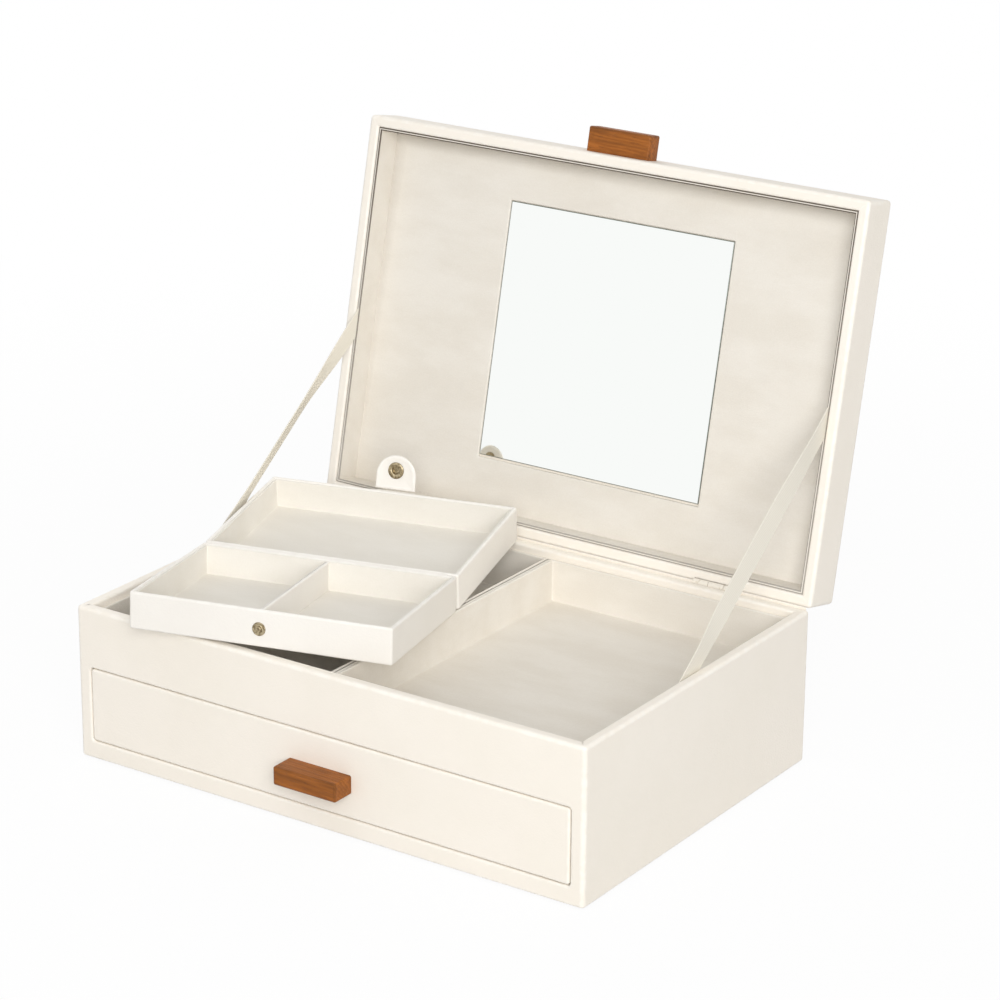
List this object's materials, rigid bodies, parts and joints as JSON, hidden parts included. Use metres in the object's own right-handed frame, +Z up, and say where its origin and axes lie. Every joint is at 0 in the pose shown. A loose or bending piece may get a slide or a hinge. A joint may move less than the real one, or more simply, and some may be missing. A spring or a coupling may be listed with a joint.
{
  "type": "vanity box with mirror",
  "caption": "Vanity box with a mirror in its hinged lid, a drawer below two open wells, and a folding travel tray with a snap tab.",
  "frame": {"origin": "centre of the case footprint, on the surface that it stands on", "axes": "+X to the right and +Y to the back, seen from the drawer side; +Z up"},
  "size_m": [0.2815, 0.2648, 0.2722],
  "materials": {
    "white_leather": "embossed, satin",
    "hinge_paint": "enamelled, satin",
    "suede_greige": "matt suede",
    "tray_leather": "satin",
    "tray_suede": "matt suede",
    "mdf": "raw board",
    "walnut": "oiled, satin",
    "mirror": "polished",
    "antique_brass": "aged, satin",
    "steel": "satin",
    "felt": "matt felt",
    "ribbon": "satin weave"
  },
  "bodies": {
    "case": {"base_felt": "felt", "base_board": "mdf", "front_panel": "white_leather", "back_panel": "white_leather", "left_panel": "white_leather", "right_panel": "white_leather", "deck_board": "suede_greige", "well_divider": "suede_greige", "left_well_lining": "suede_greige", "right_well_lining": "suede_greige", "drawer_runner_left": "mdf", "drawer_runner_right": "mdf", "hinge_case_leaf_left": "hinge_paint", "hinge_case_leaf_right": "hinge_paint", "hinge_pin_left": "hinge_paint", "hinge_pin_right": "hinge_paint", "hinge_case_screws": "hinge_paint", "ribbon_stay_left": "ribbon", "ribbon_stay_right": "ribbon"},
    "drawer": {"drawer_front": "white_leather", "drawer_left_side": "mdf", "drawer_right_side": "mdf", "drawer_back": "mdf", "drawer_bottom": "mdf", "drawer_lining": "suede_greige", "drawer_pull": "walnut", "drawer_pull_screws": "steel"},
    "lid": {"lid_board": "white_leather", "lid_front_rim": "white_leather", "lid_back_rim": "white_leather", "lid_left_rim": "white_leather", "lid_right_rim": "white_leather", "lid_lining_card": "suede_greige", "lid_rim_lining": "suede_greige", "mirror_glass": "mirror", "lid_handle": "walnut", "lid_handle_screws": "steel", "hinge_lid_leaf_left": "hinge_paint", "hinge_lid_leaf_right": "hinge_paint", "hinge_lid_screws": "hinge_paint"},
    "tray_front": {"tray_front_shell": "tray_leather", "tray_front_lining": "tray_suede", "tray_partition": "tray_suede", "snap_stud": "antique_brass", "tray_spine_strip": "tray_leather"},
    "tray_rear": {"tray_rear_shell": "tray_leather", "tray_rear_lining": "tray_suede", "clasp_root": "tray_leather"},
    "clasp": {"clasp_tab": "tray_leather", "snap_socket": "antique_brass"}
  },
  "joints": [
    {"name": "lid_hinge", "type": "hinge", "parent": "case", "child": "lid", "pos_m": [0, 0.0953, 0.07615], "axis": [1, 0, 0], "range_deg": [0, 102.4], "deforming": ["ribbon_stay_left", "ribbon_stay_right"]},
    {"name": "drawer_slide", "type": "slide", "parent": "case", "child": "drawer", "axis": [0, -1, 0], "range_m": [0, 0.13]},
    {"name": "tray_slide", "type": "slide", "parent": "case", "child": "tray_front", "axis": [0, -0.9962, 0.0872], "range_m": [0, 0.22]},
    {"name": "tray_fold", "type": "hinge", "parent": "tray_front", "child": "tray_rear", "pos_m": [-0.05854, -0.00893, 0.09036], "axis": [0.9673, 0.2538, 0], "range_deg": [0, 172.66], "deforming": ["tray_spine_strip"]},
    {"name": "tab_flex", "type": "hinge", "parent": "tray_rear", "child": "clasp", "pos_m": [-0.08006, 0.07309, 0.09559], "axis": [0.9673, 0.2538, 0], "range_deg": [0, 15], "stiffness_Nm_per_rad": 0.001}
  ],
  "couplings": [
    {"joint": "tray_slide", "follows": "lid_hinge", "m_per_rad": 0.123}
  ]
}
